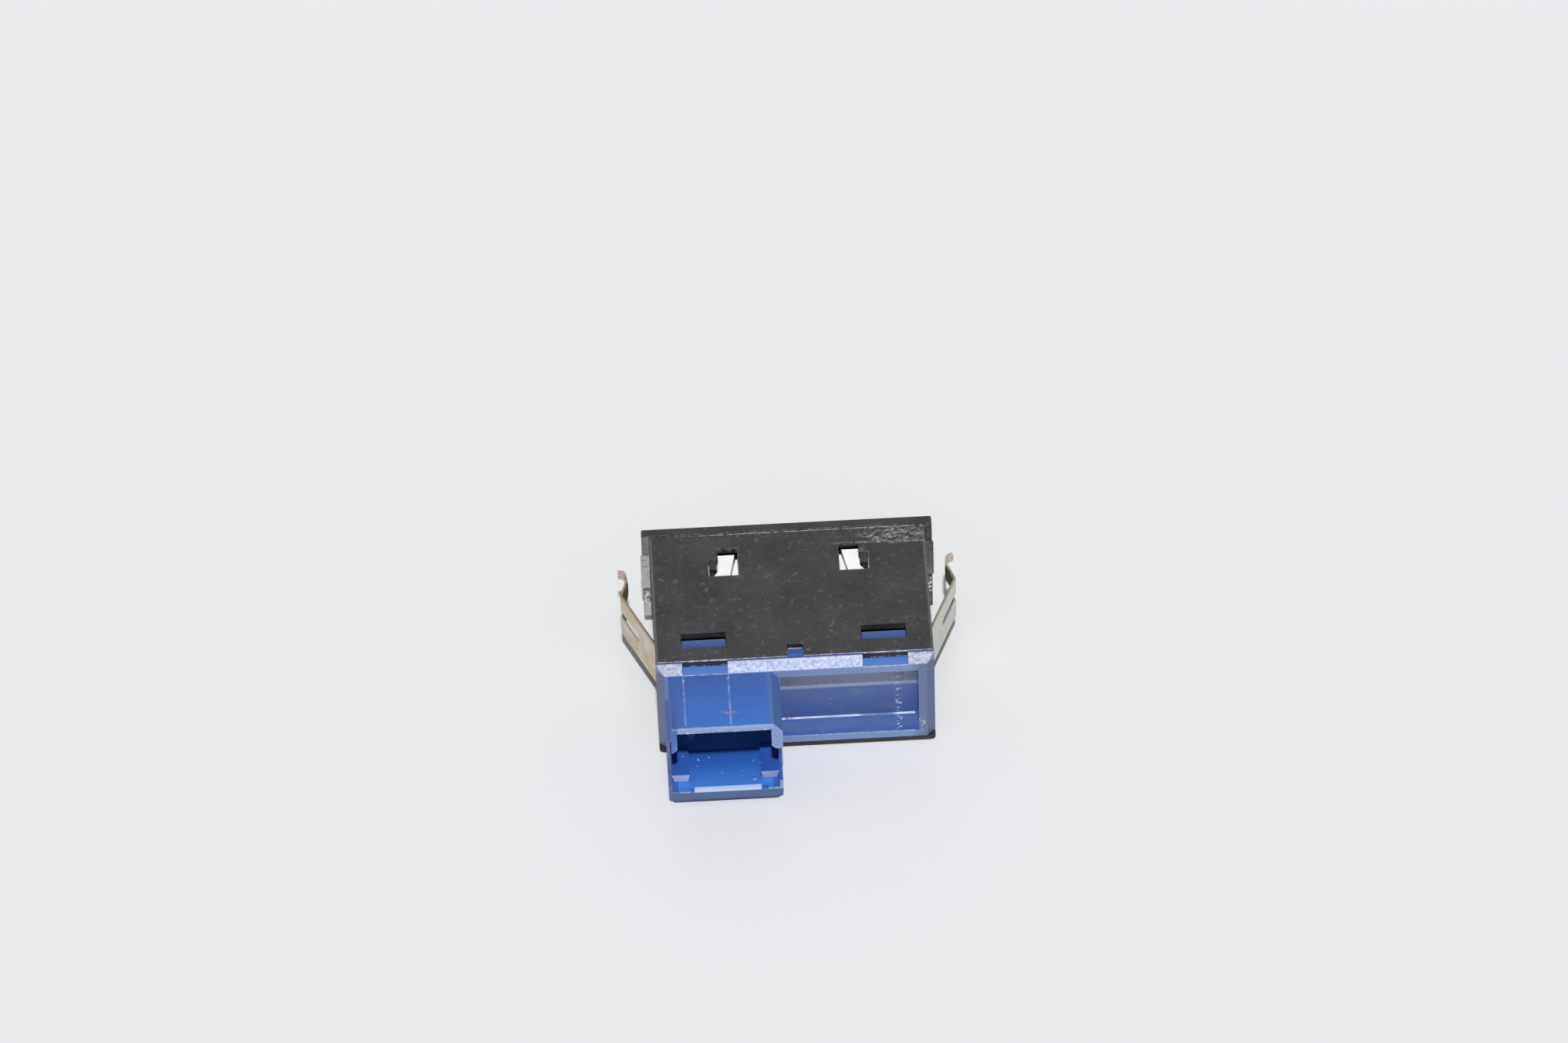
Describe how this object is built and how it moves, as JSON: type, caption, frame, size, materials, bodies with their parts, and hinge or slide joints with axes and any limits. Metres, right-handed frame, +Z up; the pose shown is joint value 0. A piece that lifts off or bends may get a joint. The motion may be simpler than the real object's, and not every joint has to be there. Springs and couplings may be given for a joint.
{
  "type": "car tailgate switch",
  "caption": "Dashboard push switch in a rectangular housing with a bezel, side spring clips and a rear connector socket, to open a car's tailgate.",
  "frame": {"origin": "middle of the switch's outline seen from above, on the surface that it lies on", "axes": "+X across the switch to the right seen from its connector, +Y from the connector towards the button, +Z up through the housing's thickness"},
  "size_m": [0.0514, 0.0412, 0.0184],
  "materials": {
    "housing_plastic": "moulded black plastic, dusty and scuffed",
    "bezel_plastic": "fine-grained black plastic",
    "cap_plastic": "blue moulded plastic, smooth with a grained chamfer",
    "clip_steel": "spring steel, yellow-passivated zinc",
    "button_plastic": "fine-grained soft-black plastic",
    "white_plastic": "white translucent plastic",
    "amber_lens": "clear amber lens",
    "slider_plastic": "natural acetal",
    "spring_steel": "bright spring wire",
    "board_laminate": "green lacquered circuit board",
    "black_plastic": "black component plastic",
    "tinned_metal": "tinned metal",
    "lamp_body": "white lamp package with pale phosphor",
    "chip_ceramic": "glazed chip resistor",
    "terminal_brass": "tinned brass terminal"
  },
  "bodies": {
    "base": {"housing": "housing_plastic", "bezel": "bezel_plastic", "rear_cap": "cap_plastic", "return_spring": "spring_steel", "light_case": "white_plastic", "circuit_board": "board_laminate", "tact_base": "black_plastic", "tact_contacts": "tinned_metal", "tact_dome": "spring_steel", "tact_cover": "tinned_metal", "backlight_led": "lamp_body", "indicator_led": "lamp_body", "chip_resistors": "chip_ceramic", "diode": "black_plastic", "terminal_1": "terminal_brass", "terminal_2": "terminal_brass", "terminal_3": "terminal_brass", "terminal_4": "terminal_brass", "terminal_5": "terminal_brass"},
    "button": {"button_cap": "button_plastic", "light_guide": "white_plastic", "indicator_lens": "amber_lens", "slider": "slider_plastic"},
    "plunger": {"tact_plunger": "black_plastic"},
    "left_clip": {"clip_left": "clip_steel"},
    "right_clip": {"clip_right": "clip_steel"}
  },
  "joints": [
    {"name": "button_press", "type": "slide", "parent": "base", "child": "button", "axis": [0, -1, 0], "range_m": [0, 0.0015], "stiffness_N_per_m": 300, "springref_m": -0.002, "deforming": ["return_spring"]},
    {"name": "plunger_press", "type": "slide", "parent": "base", "child": "plunger", "axis": [0, -1, 0], "range_m": [0, 0.0003], "deforming": ["tact_dome"]},
    {"name": "left_clip_flex", "type": "hinge", "parent": "base", "child": "left_clip", "pos_m": [-0.01971, -0.00225, 0.0092], "axis": [0, 0, -1], "range_deg": [0, 17], "stiffness_Nm_per_rad": 0.05},
    {"name": "right_clip_flex", "type": "hinge", "parent": "base", "child": "right_clip", "pos_m": [0.01971, -0.00225, 0.0092], "axis": [0, 0, 1], "range_deg": [0, 15], "stiffness_Nm_per_rad": 0.05}
  ],
  "couplings": [
    {"joint": "plunger_press", "follows": "button_press", "ratio": 0.2}
  ]
}
